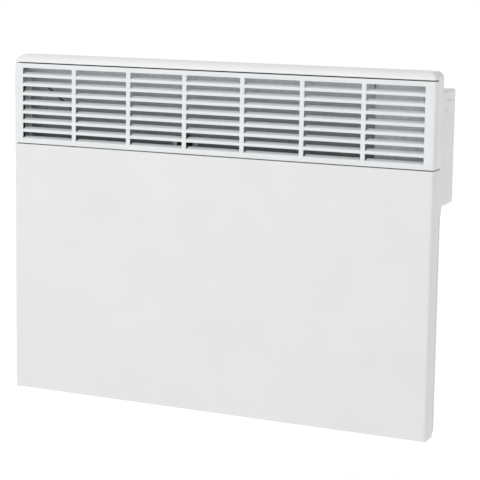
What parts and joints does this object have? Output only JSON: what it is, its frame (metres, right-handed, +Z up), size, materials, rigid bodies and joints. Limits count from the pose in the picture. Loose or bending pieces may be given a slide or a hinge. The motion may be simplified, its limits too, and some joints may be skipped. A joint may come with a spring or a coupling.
{
  "type": "wall panel convector heater",
  "caption": "Flat white wall convector with a slotted outlet grille above a plain front panel, a control box behind its upper right corner, and a tilting wall frame.",
  "frame": {"origin": "middle of the four wall holes, on the face that lies against the wall", "axes": "+Z up; +Y into the wall; the front faces -Y; +X to the right of someone facing the front"},
  "size_m": [0.5781, 0.09, 0.4482],
  "materials": {
    "casing_white": "fine powder coat",
    "grille_white": "fine powder coat",
    "plastic_white": "fine moulded grain",
    "key_white": "smooth",
    "galvanised": "galvanised sheet",
    "bright_steel": "zinc plated",
    "wall_frame_steel": "powder coat",
    "element_aluminium": "as extruded",
    "heatsink_aluminium": "natural",
    "ceramic_white": "unglazed",
    "display_glass": "clear cover over a dark display",
    "display_grey": "moulded frame",
    "lamp_lens": "translucent",
    "board_green": "solder mask",
    "component_black": "moulded",
    "relay_blue": "moulded",
    "transformer_tape": "taped winding",
    "capacitor_sleeve": "sleeved can",
    "brass_terminal": "plain",
    "terminal_plastic": "moulded",
    "grommet_rubber": "moulded",
    "pad_rubber": "moulded",
    "gland_plastic": "moulded",
    "lead_brown": "silicone insulation",
    "lead_blue": "silicone insulation",
    "lead_black": "silicone insulation",
    "lead_green": "silicone insulation",
    "lead_grey": "insulation",
    "sensor_black": "resin bead"
  },
  "bodies": {
    "wall_frame": {"wall_rail_right": "wall_frame_steel", "wall_rail_left": "wall_frame_steel", "crossbar_top": "wall_frame_steel", "crossbar_bottom": "wall_frame_steel", "pivot_pins": "bright_steel", "spring_clips": "bright_steel", "clip_rivets": "bright_steel"},
    "heater": {"front_panel": "casing_white", "outlet_grille": "grille_white", "top_shell": "casing_white", "rear_panel": "casing_white", "inlet_guard": "galvanised", "air_baffle": "galvanised", "control_partition": "bright_steel", "element_body": "element_aluminium", "element_rod": "bright_steel", "element_bushes": "ceramic_white", "element_brackets": "galvanised", "element_terminals": "bright_steel", "thermal_cutout": "component_black", "cutout_bracket": "galvanised", "control_box": "plastic_white", "control_cover": "plastic_white", "display_window": "display_glass", "display_module": "display_grey", "indicator_lamp": "lamp_lens", "control_pcb": "board_green", "power_pcb": "board_green", "relay": "relay_blue", "smoothing_capacitor": "capacitor_sleeve", "triac_heatsink": "heatsink_aluminium", "power_triac": "component_black", "mains_transformer": "transformer_tape", "terminal_block": "terminal_plastic", "terminal_screws": "brass_terminal", "switch_body": "component_black", "tact_switches": "component_black", "cable_gland": "gland_plastic", "room_sensor": "sensor_black", "lead_grommet": "grommet_rubber", "earth_stud": "bright_steel", "lead_live": "lead_brown", "lead_neutral": "lead_blue", "lead_return": "lead_black", "lead_earth": "lead_green", "lead_sensor": "lead_grey", "supply_leads": "lead_brown", "case_screws": "bright_steel", "box_screws": "bright_steel", "pcb_screws": "bright_steel", "pivot_hooks": "galvanised", "catch_fins": "galvanised", "back_pads": "pad_rubber"},
    "rocker": {"rocker": "plastic_white"},
    "plus_key": {"key_plus": "key_white"},
    "minus_key": {"key_minus": "key_white"},
    "mode_key": {"key_mode": "key_white"}
  },
  "joints": [
    {"name": "heater_tilt", "type": "hinge", "parent": "wall_frame", "child": "heater", "pos_m": [0, -0.045, -0.158], "axis": [1, 0, 0], "range_deg": [0, 18]},
    {"name": "rocker_tip", "type": "hinge", "parent": "heater", "child": "rocker", "pos_m": [0.282, -0.0314, 0.175], "axis": [0, 0, 1], "range_deg": [0, 14]},
    {"name": "plus_press", "type": "slide", "parent": "heater", "child": "plus_key", "axis": [0, 0, -1], "range_m": [0, 0.0008], "stiffness_N_per_m": 800},
    {"name": "minus_press", "type": "slide", "parent": "heater", "child": "minus_key", "axis": [0, 0, -1], "range_m": [0, 0.0008], "stiffness_N_per_m": 800},
    {"name": "mode_press", "type": "slide", "parent": "heater", "child": "mode_key", "axis": [0, 0, -1], "range_m": [0, 0.0008], "stiffness_N_per_m": 800}
  ]
}
